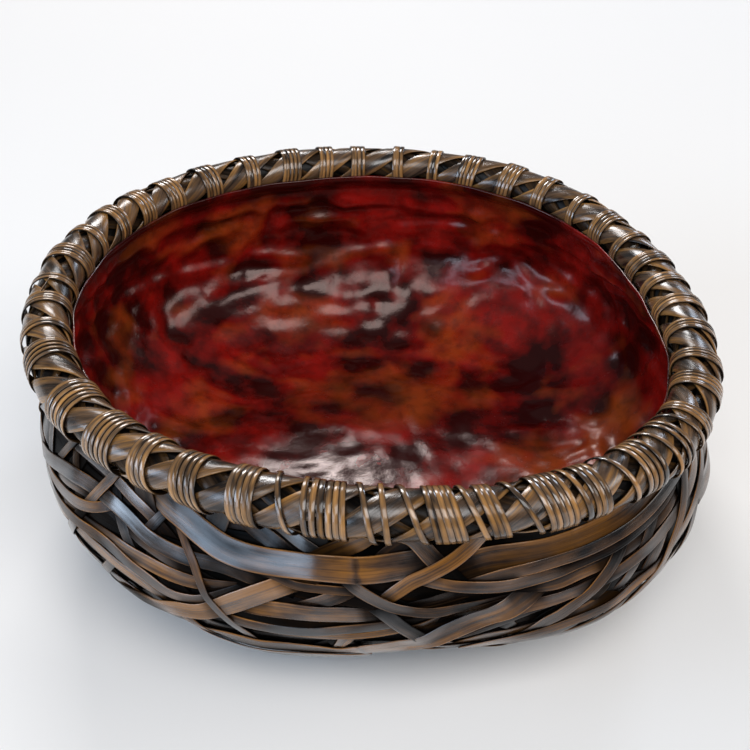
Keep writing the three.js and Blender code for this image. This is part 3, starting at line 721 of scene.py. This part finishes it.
# The lashing's gold along each strand's middle is partly a painted highlight
lash_bamboo = bamboo(
    "bamboo_lashing_rubbed_and_highlit", (0.016, 0.011, 0.008), (0.11, 0.066, 0.037), (0.34, 0.165, 0.047), 0.18, 0.9,
    fibre=0.6)
splint_bamboo = bamboo(
    "plain_bamboo_splint", (0.03, 0.02, 0.014), (0.09, 0.06, 0.036), (0.17, 0.1, 0.04), 0.42, 0.1)


def lacquered_paper():
    """Red-brown lacquer over paper: glossy and cloudy on the inside; the face towards the weave is dull, and
    near black as painted shade in the gaps of the weave.
    """
    n = Nodes("red_lacquered_paper")
    inside = n.attribute("inside", "Fac")
    press = n.attribute("press", "Fac")
    place = n.add("ShaderNodeTexCoord").outputs["Object"]
    clouds = n.noise(place, 38.0, 4.0, 0.55)
    patches = n.noise(n.stretch(place, (1.0, 1.0, 1.6)), 22.0, 3.0)
    specks = n.noise(place, 170.0, 4.0, 0.6)
    red = n.mix(n.fit(n.math("ADD", clouds, press), 0.4, 0.64), (0.022, 0.0004, 0.0004), (0.25, 0.005, 0.003))
    red = n.mix(n.fit(n.math("ADD", patches, press), 0.5, 0.8, 0.0, 0.75), red, (0.36, 0.075, 0.01))
    red = n.mix(n.fit(specks, 0.46, 0.72, 0.0, 0.55), red, (0.02, 0.0004, 0.0004))
    # The outer face, seen through the gaps of the weave, is near black: painted shade
    n.set("Base Color", n.mix(inside, (0.006, 0.005, 0.005), red))
    rough = n.fit(n.math("ADD", n.math("MULTIPLY", specks, 0.5), clouds), 0.5, 1.0, 0.15, 0.33)
    n.set("Roughness", n.add("ShaderNodeMix", {0: inside, 2: 0.8, 3: rough}).outputs[0])
    n.set("Specular Tint", (1.0, 0.8, 0.77))
    n.bump(0.3, 0.0005, n.noise(place, 260.0, 4.0, 0.6))
    return n.material


# Strips of the wall and base

STRIP_PROFILE = np.array([(-1, -0.3), (-1, 0.26), (-0.94, 0.45), (-0.84, 0.5), (0, 0.54), (0.84, 0.5),
                          (0.94, 0.45), (1, 0.26), (1, -0.3), (0.9, -0.5), (-0.9, -0.5)])


def across_strip(edges, across):
    """Values across a strip, straight between those of its left and right edge."""
    return edges[:, :1] * (1 - across) / 2 + edges[:, 1:] * (1 + across) / 2


def strip_surface(strip):
    """A flat profile along a strip's course: across by half the width, and out by the lift of its edges.

    The width varies a little and runs thin at free ends, and a knot raises a ring of the culm's joint."""
    across, rise = STRIP_PROFILE[:, 0], STRIP_PROFILE[:, 1]
    even, number = strip["even"], strip["number"]
    length = even[-1]
    vary = 1 + 0.035 * np.sin(even / 23 + number) + 0.025 * np.sin(even / 9.1 + 2.7 * number)
    if strip["kind"] != "stake":
        vary = vary * (0.7 + 0.3 * smooth(np.minimum(even, length - even), 0, 8))

    def at_knots(reach):
        bells = (np.exp(-((even - share * length) / reach) ** 2) for share in strip["knots"])
        return sum(bells, np.zeros_like(even))

    ring = at_knots(0.9)
    out = across_strip(strip["lift"], across) + rise * STRIP_THICKNESS + 0.32 * ring[:, None] * (rise > 0)
    aside = across * (strip["width"] / 2 * vary)[:, None]
    point = strip["point"][:, None] + strip["side"][:, None] * aside[..., None]
    point = point + strip["normal"][:, None] * out[..., None]
    seed = (number * 0.618) % 1
    grain = np.stack(np.broadcast_arrays(even[:, None] / 1000, aside / 1000, seed), axis=-1)
    flow = 0.17 * np.sin(even / 41 + 5 * number) + 0.12 * np.sin(even / 17 + 3 * number)
    tone = 0.3 + 0.3 * np.sin(number * 2.4) + 0.55 * strip["gold"] + flow
    tone = (tone + 0.5 * at_knots(9) - 0.8 * ring)[:, None] + 0 * across
    # Painted shade: where the strip runs under another, along strips that lie deep in the weave, and all over
    # the under face
    painted_shade = across_strip(strip["painted_shade"], across)
    painted_shade = np.maximum(painted_shade, 0.7 * (1 - smooth(strip["lift"].mean(1), 0.4, 1.4))[:, None])
    painted_shade = np.maximum(painted_shade, rise < 0)
    # Gold at the edges, partly wear and partly a painted highlight of cut edges catching light, less where
    # shaded
    wear_and_highlight = (0.15 + 0.85 * (np.abs(across) > 0.9)) * (1 - painted_shade)
    return hand_made(point), grain, tone, wear_and_highlight, painted_shade


def make_strips(name, members, material, nodes):
    """One piece from strips that are listed together, each a closed ribbon."""
    parts = [strip_surface(s) for s in members]
    columns = len(STRIP_PROFILE)
    faces, first = [], 0
    for points, *_ in parts:
        faces += tube_faces(len(points), columns, first)
        first += len(points) * columns
    surface = [np.concatenate([p[k].reshape(-1, *p[k].shape[2:]) for p in parts]) for k in range(5)]
    bamboo_piece(name, surface, faces, material, nodes)


for strip in strips:
    node = strip["name"]
    if strip["kind"] == "stake":
        make_strips(node.replace("stake", "woven_stake"), [strip], stake_bamboo, [node])
    if strip["kind"] == "band":
        make_strips("woven_" + node, [strip], strip_bamboo, [node])
for kind, name in (("front", "front_wall"), ("filling", "filling"), ("narrow", "narrow_filling")):
    make_strips(name + "_strips", [s for s in strips if s["kind"] == kind], strip_bamboo, [])


# Surface of the rim roll, which the liner's lip follows too

def on_roll(angle, turn, out):
    """Places on the rim roll: an oval round the rim circle, larger by out, at a turn round the roll.

    Waves round the rim swell and pinch the oval a little."""
    waves = ((0.03, 7, 1), (0.025, 17, 2), (0.015, 31, 0))
    swell = sum((size * np.sin(count * angle + phase) for size, count, phase in waves), ROLL_SWELL)
    radius = RIM_RADIUS + (HOOP_HALF_WIDTH + out) * np.cos(turn) * swell
    height = RIM_HEIGHT + (HOOP_HALF_HEIGHT + out) * np.sin(turn) * swell
    return spun(radius, angle, height)


# Paper liner

def blurred(weight, across, down, reach):
    """A grid of counts softened by a Gaussian of a given reach in mm, in frequency space."""
    rows = np.fft.fftfreq(weight.shape[0])[:, None] / down
    columns = np.fft.fftfreq(weight.shape[1])[None] / across
    keep = np.exp(-2 * (np.pi * reach) ** 2 * (rows**2 + columns**2))
    return np.fft.ifft2(np.fft.fft2(weight) * keep).real


def blurred_wall(values, down, reach):
    """A grid of length along and angle, softened, with a mirrored copy so that its ends don't meet."""
    both = np.concatenate([values, values[::-1]])
    return blurred(both, TAU * MEAN_RADIUS / values.shape[1], down, reach)[:len(values)]


def read_grid(grid, row, column):
    """Value of a grid between its points, from the four points round each place."""
    r0 = np.clip(row.astype(int), 0, grid.shape[0] - 2)
    c0 = np.floor(column).astype(int)
    fr, fc = row - r0, column - c0
    c0, c1 = c0 % grid.shape[1], (c0 + 1) % grid.shape[1]
    return ((grid[r0, c0] * (1 - fc) + grid[r0, c1] * fc) * (1 - fr)
            + (grid[r0 + 1, c0] * (1 - fc) + grid[r0 + 1, c1] * fc) * fr)


def lumps_inside(along, angle):
    """Lumps of the inside, as in the part: a value at each corner of rings of sides, straight between them.

    Every other ring starts half a side on. The lumps fade out towards the top and the base's middle."""
    top = WALL_TOP + FIT_GAP
    rings = np.concatenate([np.array([0.23, 0.5, 0.75, 1]) * BASE_EDGE, np.linspace(BASE_EDGE, top, 11)[1:]])
    ring, side = np.arange(len(rings))[:, None], np.arange(LINER_SIDES)[None]
    value = np.cos(GOLDEN * (ring + 2) * (side + 3) ** 2)
    place = np.interp(along, rings, np.arange(len(rings)))
    low = np.minimum(place.astype(int), len(rings) - 2)

    def read(row):
        column = angle / TAU * LINER_SIDES - (row + 1) % 2 / 2
        before = np.floor(column).astype(int)
        part = column - before
        return value[row, before % LINER_SIDES] * (1 - part) + value[row, (before + 1) % LINER_SIDES] * part

    lumps = read(low) + (place - low) * (read(low + 1) - read(low))
    return np.minimum(np.minimum(1, (top - along) / LUMP_FADE), (along / BASE_EDGE) ** 4) * (1 + lumps)


def liner_relief(along, angle, point):
    """How the paper stands inwards where strips press it from behind, and its fine creases.

    Strips near the paper are counted on a grid of length along and angle for the wall and on a square grid
    for the base, softened, and read back with a smooth change between them. The creases are a sum of cosine
    waves of place with random directions."""
    rows, columns, side = 192, 720, 200
    wall, base = np.zeros((rows, columns)), np.zeros((side, side))
    for s in strips:
        x, y = s["point"][:, 0], s["point"][:, 1]
        weight = s["width"] / 8 * np.exp(-s["lift"].mean(1) / 0.9)
        row = np.clip((s["along"] / REACH * (rows - 1)).astype(int), 0, rows - 1)
        column = (np.arctan2(y, x) % TAU / TAU * columns).astype(int) % columns
        np.add.at(wall, (row, column), weight * RIM_RADIUS / np.maximum(np.hypot(x, y), 40))
        flat = np.clip(s["point"][:, :2] + side / 2, 0, side - 1).astype(int)
        np.add.at(base, (flat[:, 1], flat[:, 0]), weight * (s["along"] < 100))
    wall = blurred_wall(wall, REACH / (rows - 1), PRESS_BLUR)
    wall = (wall - wall[100:180].mean()) / wall[100:180].std()
    base = blurred(base, 1, 1, BASE_BLUR)
    middle = base[50:150, 50:150]
    base = (base - middle.mean()) / middle.std()
    on_wall = read_grid(wall, along / REACH * (rows - 1), (angle % TAU) / TAU * columns)
    flat = np.clip(point + side / 2, 0, side - 2)
    on_base = read_grid(base, flat[..., 1], flat[..., 0])
    share = smooth(along, 60, 84)
    chance = np.random.default_rng(3)
    creases = np.zeros(point.shape[:-1])
    for _ in range(24):
        wave = chance.normal(size=3)
        wave *= TAU / chance.uniform(9, 17) / np.linalg.norm(wave)
        creases += np.cos(point @ wave + chance.uniform(0, TAU))
    return np.clip(share * on_wall + (1 - share) * on_base, -2, 2), creases / np.sqrt(12)


def make_liner():
    """The bowl's profile turned round the axis: out along the under side, over a lip, back along the inside.

    The lip turns in under the rim roll. The inside stands in by the relief, which fades out towards the lip,
    and rounds off the tip of the base's crown."""
    top = WALL_TOP + FIT_GAP
    columns = 420
    along_out = np.linspace(2.0, top, 60)
    along_in = np.linspace(top - 1.5, 1.2, 200)
    angle = np.arange(columns) * TAU / columns
    outer_at, outer_normal = on_bowl(*np.meshgrid(along_out, angle, indexing="ij"))
    outer = outer_at - LINER_GAP * outer_normal
    lip_turn = np.radians([-112, -122, -132, -142, -155, -166, -171, -166, -155, -142, -132, -122])
    lip_out = LIP_OUT + np.array([0, 0, 0, 0, 0, 0, 0.4, 0.8, 0.9, 0.9, 0.9, 0.9])
    lip = on_roll(angle[None], lip_turn[:, None], lip_out[:, None])
    along, turn = np.meshgrid(along_in, angle, indexing="ij")
    inner_at, inner_normal = on_bowl(along, turn)
    press, creases = liner_relief(along, turn, inner_at)
    lumps = blurred_wall(lumps_inside(along, turn), along_in[0] / len(along_in), LUMP_BLUR)
    fade = smooth(top - along, 0, 10)
    strain = 0.24 + 0.7 * smooth(along, BELLY_EDGE - 30, BELLY_EDGE + 5)
    crease = 0.09 + 0.15 * smooth(along, 30, 75)
    tip = 2 * BASE_CROWN / BASE_RADIUS * (np.hypot(along, CROWN_ROUND) - along)
    relief = fade * (strain * press + crease * creases)
    depth = np.maximum(LINER_GAP + LINER_THICKNESS - tip + LUMP_HEIGHT * lumps + relief, LEAST_DEPTH)
    inner = inner_at - depth[..., None] * inner_normal
    grid = np.concatenate([outer, lip, inner])
    rows = len(grid)
    k = np.arange(columns)
    m = (k + 1) % columns
    last = (rows - 1) * columns
    faces = tube_faces(rows, columns)[:-2]
    faces += np.stack([m, k, np.full(columns, rows * columns)], 1).tolist()
    faces += np.stack([last + k, last + m, np.full(columns, rows * columns + 1)], 1).tolist()
    faces = [f[::-1] for f in faces]
    points = np.concatenate([grid.reshape(-1, 3), [outer[0].mean(0), inner[-1].mean(0)]])
    pressed = 0.035 * press + 0.06 * (lumps - 1) * fade
    sizes = [part.size // 3 for part in (outer, lip)]
    inside = np.concatenate([np.zeros(sizes[0]), np.ones(sizes[1] + pressed.size), [0, 1]])
    pressed = np.concatenate([np.zeros(sizes[0]), np.full(sizes[1], -0.08), pressed.ravel(), [0, 0]])
    make_piece("lacquered_paper_liner", hand_made(points), faces, dict(inside=inside, press=pressed),
               lacquered_paper(), ["paper_liner"])


make_liner()


# Hoops, wraps and lashing of the rim roll

def make_hoop(name, side, node):
    """Half an oval, flat towards the slit, carried once round the rim circle."""
    columns = 13
    angle = np.arange(300) * TAU / 300
    turn = np.linspace(np.pi / 2, -np.pi / 2, columns)
    slit = (SOLID_THICKNESS + 2 * FIT_GAP) / 2
    away = np.maximum(HOOP_HALF_WIDTH * ROLL_SWELL * np.cos(turn), slit)
    radius = RIM_RADIUS + side * away[None] + 0 * angle[:, None]
    points = spun(radius, angle[:, None], RIM_HEIGHT + HOOP_HALF_HEIGHT * ROLL_SWELL * np.sin(turn))
    faces = tube_faces(len(angle), columns, loop=True)
    if side > 0:
        faces = [f[::-1] for f in faces]
    along = (angle * RIM_RADIUS / 1000)[:, None]
    grain = np.stack(np.broadcast_arrays(along, turn * 0.005, side * 0.3), axis=-1)
    tone = 0.3 + 0.15 * np.sin(7 * angle)[:, None] + 0 * radius
    # No wear, and painted shade of half strength over the whole hoop
    surface = hand_made(points), grain, tone, 0 * radius, 0.5 + 0 * radius
    bamboo_piece(name, surface, faces, hoop_bamboo, [node])


make_hoop("outer_hoop", 1, "rim_outer_hoop")
make_hoop("inner_hoop", -1, "rim_inner_hoop")

WRAP_PROFILE = np.array([(-1, 0.2), (-0.99, 0.75), (-0.95, 0.95), (-0.4, 1.02), (0.4, 1.02), (0.95, 0.95),
                         (0.99, 0.75), (1, 0.2), (0.9, 0.0), (-0.9, 0.0)])
LASHING_PROFILE = np.array([(-1, 0.05), (-1, 0.38), (-0.8, 0.5), (0, 0.54), (0.8, 0.5), (1, 0.38), (1, 0.05),
                            (0, 0.0)])


def wind(passes, hand, out, half, thickness, profile, cut, steps, seed, painted_shade):
    """A flat profile wound round the roll: a turn between two passes under it, less cut turns at each end.

    Each quarter turn has its own small shift of width, height and tone. A broad profile widens over the top
    and is worn at its edges. A narrow one carries a painted highlight along its middle and slants across the
    roll, and away from the front it moves on to the next group on the far side of the roll. Faces low in the
    profile carry painted shade."""
    t = np.linspace(cut, len(passes) - 1 - cut, int((len(passes) - 1 - 2 * cut) * steps) + 1)
    angle = np.interp(t, np.arange(len(passes)), passes)
    turn = -np.pi / 2 + hand * TAU * t
    across, rise = profile[:, 0], profile[:, 1]
    if half < NARROW_HALF:
        last = np.minimum(t.astype(int), len(passes) - 2)
        jump = passes[last + 1] - passes[last]
        moved_on = (jump > GROUP_GAP) & ((passes[last] <= PLAIN_VIEW[0]) | (passes[last] >= PLAIN_VIEW[1]))
        start = np.where(np.sin(angle) > 0, 0.7, 0.0)
        angle = np.where(moved_on, passes[last] + jump * smooth(t - last, start, start + 0.3), angle)
        slant = 0.008 * (1 + np.cos(8 * (angle - np.radians(287)))) * np.sin(turn)
        # A narrow strand: a painted highlight along its middle, and painted shade on its sides
        broad, wear_and_highlight, shade_rise = half, 0.2 + 0.7 * (np.abs(across) < 0.5), 0.45
    else:
        slant = 0
        # A broad wrap: worn gold at its edges, and painted shade on its under side
        broad, wear_and_highlight, shade_rise = half * (1 + 0.13 * np.sin(turn)), 0.12 + 0.88 * (np.abs(across) > 0.78), 0.3
    chance = np.random.default_rng(seed)
    at = np.linspace(0, len(passes) - 1, 4 * len(passes))
    swell = np.interp(t, at, chance.uniform(-1, 1, len(at)))
    aside = across * (broad * (1 + 0.05 * swell))[:, None]
    height = out + rise * thickness + 0.06 * swell[:, None]
    points = hand_made(on_roll((angle - slant)[:, None] + aside / RIM_RADIUS, turn[:, None], height))
    run = run_length(points.mean(1))[:, None]
    grain = np.stack(np.broadcast_arrays(run, aside / 1000, seed * 0.37), axis=-1)
    tone = 0.4 + 0.4 * np.interp(t, at, chance.uniform(-1, 1, len(at)))[:, None] + 0 * aside
    # Painted shade on the faces low in the profile, on top of the layer's own painted shade
    painted_shade = painted_shade + (0.9 - painted_shade) * (rise < shade_rise)
    return points, grain, tone, wear_and_highlight + 0 * aside, painted_shade + 0 * aside


def make_winding(name, surface, material, nodes, hand):
    """One piece from a wound surface, with its faces turned outwards for its hand."""
    faces = tube_faces(*surface[0].shape[:2])
    if hand > 0:
        faces = [f[::-1] for f in faces]
    bamboo_piece(name, surface, faces, material, nodes)


OVER_WRAP = 2 * FIT_GAP + WRAP_THICKNESS
OVER_BOTH = OVER_WRAP + WRAP_THICKNESS + FIT_GAP
wrap_slant = np.arctan2(2 * SLOT * RIM_RADIUS, TAU * HOOP_HALF_WIDTH)
wrap_half = WRAP_WIDTH / 2 / np.cos(wrap_slant)
for start in range(WRAP_STARTS):
    chance = np.random.default_rng(20 + start)
    passes = (start * 2 / WRAP_STARTS + 2 * np.arange(13)) * SLOT
    passes[1:-1] += chance.uniform(-0.006, 0.006, 11)
    # The under wraps carry painted shade of 0.8, for the hollows between the over wraps; the over wraps carry
    # none
    for hand, layer, out, painted_shade in ((-1, "under", FIT_GAP, 0.8), (1, "over", OVER_WRAP, 0.0)):
        seed = 2 * start + (hand > 0)
        surface = wind(passes, hand, out, wrap_half, WRAP_THICKNESS, WRAP_PROFILE, 0.125, 44, seed, painted_shade)
        stands_for = [f"rim_{layer}_wrap_{start + 1}"] if start < 2 else []
        make_winding(f"{layer}_wrap_{start + 1}", surface, wrap_bamboo, stands_for, hand)

# Angles at which the lashing passes under the roll: read off for the front, even groups for the rest
FRONT_PASSES = [
    199.5, 200.7, 201.9, 203.1, 204.3, 213.6, 214.7, 215.8, 216.9, 218, 219, 224.8, 225.9, 227, 228.1, 229.2,
    230.3, 234.8, 235.7, 236.7, 237.6, 242.2, 243.2, 244.2, 245.2, 246.2, 251.1, 252, 252.8, 253.7, 254.4,
    260.1, 261.9, 262.7, 263.9, 264.9, 265.8, 266.7, 271.1, 272.4, 277.7, 278.6, 279.5, 280.3, 281.2, 282,
    285.2, 286, 286.8, 287.6, 292.7, 293.6, 294.4, 295.3, 296.1, 297, 299.4, 300.3, 301.2, 302, 308.1, 309.1,
    310.1, 311.2, 312.3, 316.4, 317.8, 319.2,
]
chance = np.random.default_rng(40)
rest = []
middle = 325.0
while middle < 556:
    count = chance.integers(3, 6)
    rest.append(middle + (np.arange(count) - (count - 1) / 2) * 0.9 + chance.uniform(-0.04, 0.04, count))
    middle += chance.uniform(7.2, 9.6)
passes = np.sort(np.concatenate([FRONT_PASSES] + rest) % 360)
turned = np.sort((passes + LASHING_JOINT) % 360)
for quarter in range(4):
    first, last = np.searchsorted(turned, (90 * quarter, 90 * quarter + 90))
    joint = turned[last] if last < len(turned) else turned[0] + 360
    part = np.radians(np.append(turned[first:last], joint) - LASHING_JOINT)
    surface = wind(part, -1, OVER_BOTH, LASHING_WIDTH / 2, LASHING_THICKNESS, LASHING_PROFILE, 0, 30,
                   50 + quarter, 0.0)
    name = f"lashing_{quarter + 1}"
    make_winding(name, surface, lash_bamboo, ["rim_" + name], -1)


# Splints under the base

def make_splint(name, node):
    """A split bamboo splint: a flat-bottomed rounded section carried along x, thinner towards both ends."""
    low, high = (np.array(corner) * 1000 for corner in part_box(node))
    size, middle = high - low, (high + low) / 2
    turn = np.linspace(0, TAU, 16, endpoint=False)
    along = np.linspace(-1, 1, 90)
    taper = np.sqrt(np.clip(1 - np.clip(np.abs(along) * 40 - 39, 0, 1) ** 2, 0.1, 1))
    across = np.sign(np.cos(turn)) * np.abs(np.cos(turn)) ** 0.45 * size[1] / 2
    rise = np.sign(np.sin(turn)) * np.abs(np.sin(turn)) ** 0.45 * size[2] / 2
    x = middle[0] + along[:, None] * size[0] / 2 + 0 * across
    y = middle[1] + across * taper[:, None]
    z = middle[2] + rise * (0.85 + 0.15 * taper[:, None])
    z = z - z.min() + low[2]
    points = np.stack([x, y, z], axis=-1) / 1000
    faces = [f[::-1] for f in tube_faces(len(along), len(turn))]
    grain = np.stack([x / 1000, y / 1000, 0 * x + middle[1] * 0.01], axis=-1)
    tone = 0.5 + 0.15 * np.sin(along * 7)[:, None] + 0 * x
    surface = points, grain, tone, 0.4 + 0 * x, 0 * x
    bamboo_piece(name, surface, faces, splint_bamboo, [node])


for place in ("front", "middle", "back"):
    make_splint(f"{place}_base_splint", f"base_splint_{place}")


# Floor, light and camera

def make_floor():
    """A wide flat floor, as a grid in x and y."""
    x, y = np.meshgrid(np.linspace(-6, 6, 5), np.linspace(-6, 6, 5))
    points = np.stack([x, y, 0 * x], axis=-1)
    i, k = (g.ravel() for g in np.meshgrid(np.arange(4), np.arange(4), indexing="ij"))
    faces = np.stack([i * 5 + k, i * 5 + k + 1, (i + 1) * 5 + k + 1, (i + 1) * 5 + k], 1)
    mesh = bpy.data.meshes.new("pale_floor")
    mesh.from_pydata(points.reshape(-1, 3).tolist(), [], faces.tolist())
    n = Nodes("pale_paper_floor")
    tint = n.noise(n.add("ShaderNodeTexCoord").outputs["Object"], 3.0, 2.0)
    n.set("Base Color", n.mix(tint, (0.80, 0.795, 0.79), (0.82, 0.815, 0.81)))
    n.set("Roughness", 0.7)
    n.set("Specular IOR Level", 0.2)
    mesh.materials.append(n.material)
    floor = link("pale_floor", mesh)


make_floor()


def area_light(name, place, size, power, colour):
    """Rectangular soft light at a place, turned to the middle of the basket."""
    data = bpy.data.lights.new(name, "AREA")
    data.shape = "RECTANGLE"
    data.size, data.size_y = size
    data.energy = power
    data.color = colour
    lamp = link(name, data)
    lamp.location = place
    lamp.rotation_mode = "QUATERNION"
    lamp.rotation_quaternion = (Vector(place) - Vector((0, 0, 0.05))).to_track_quat("Z", "Y")


area_light("back_window", (-0.3, 1.35, 1.15), (0.6, 0.36), 13, (1.0, 0.97, 0.95))
area_light("back_right_window", (0.75, 1.2, 0.85), (0.35, 0.4), 4, (0.75, 0.85, 1.0))
area_light("front_top_light", (0.25, -1.05, 1.5), (1.6, 1.0), 25, (1.0, 0.96, 0.92))
area_light("left_window", (-1.3, -0.45, 0.5), (0.7, 0.65), 9.5, (0.68, 0.82, 1.0))
area_light("front_left_window", (-1.0, -1.25, 0.45), (0.8, 0.8), 8, (0.62, 0.79, 1.0))
area_light("right_light", (1.3, -0.2, 0.7), (0.6, 0.6), 5, (1.0, 0.97, 0.93))

world = bpy.data.worlds.new("white_studio")
bpy.context.scene.world = world
world.use_nodes = True
background = world.node_tree.nodes["Background"].inputs
background["Color"].default_value = (0.95, 0.97, 1.0, 1)
background["Strength"].default_value = 0.15

camera_data = bpy.data.cameras.new("camera")
camera_data.sensor_width = 36
camera_data.lens = 58.392
camera_data.clip_start = 0.01
camera = link("camera", camera_data)
camera.location = (0.0014, -0.3958, 0.3246)
camera.rotation_euler = (np.pi / 2 - 0.597, 0, 0)
bpy.context.scene.camera = camera
bpy.context.scene.view_settings.view_transform = "Standard"
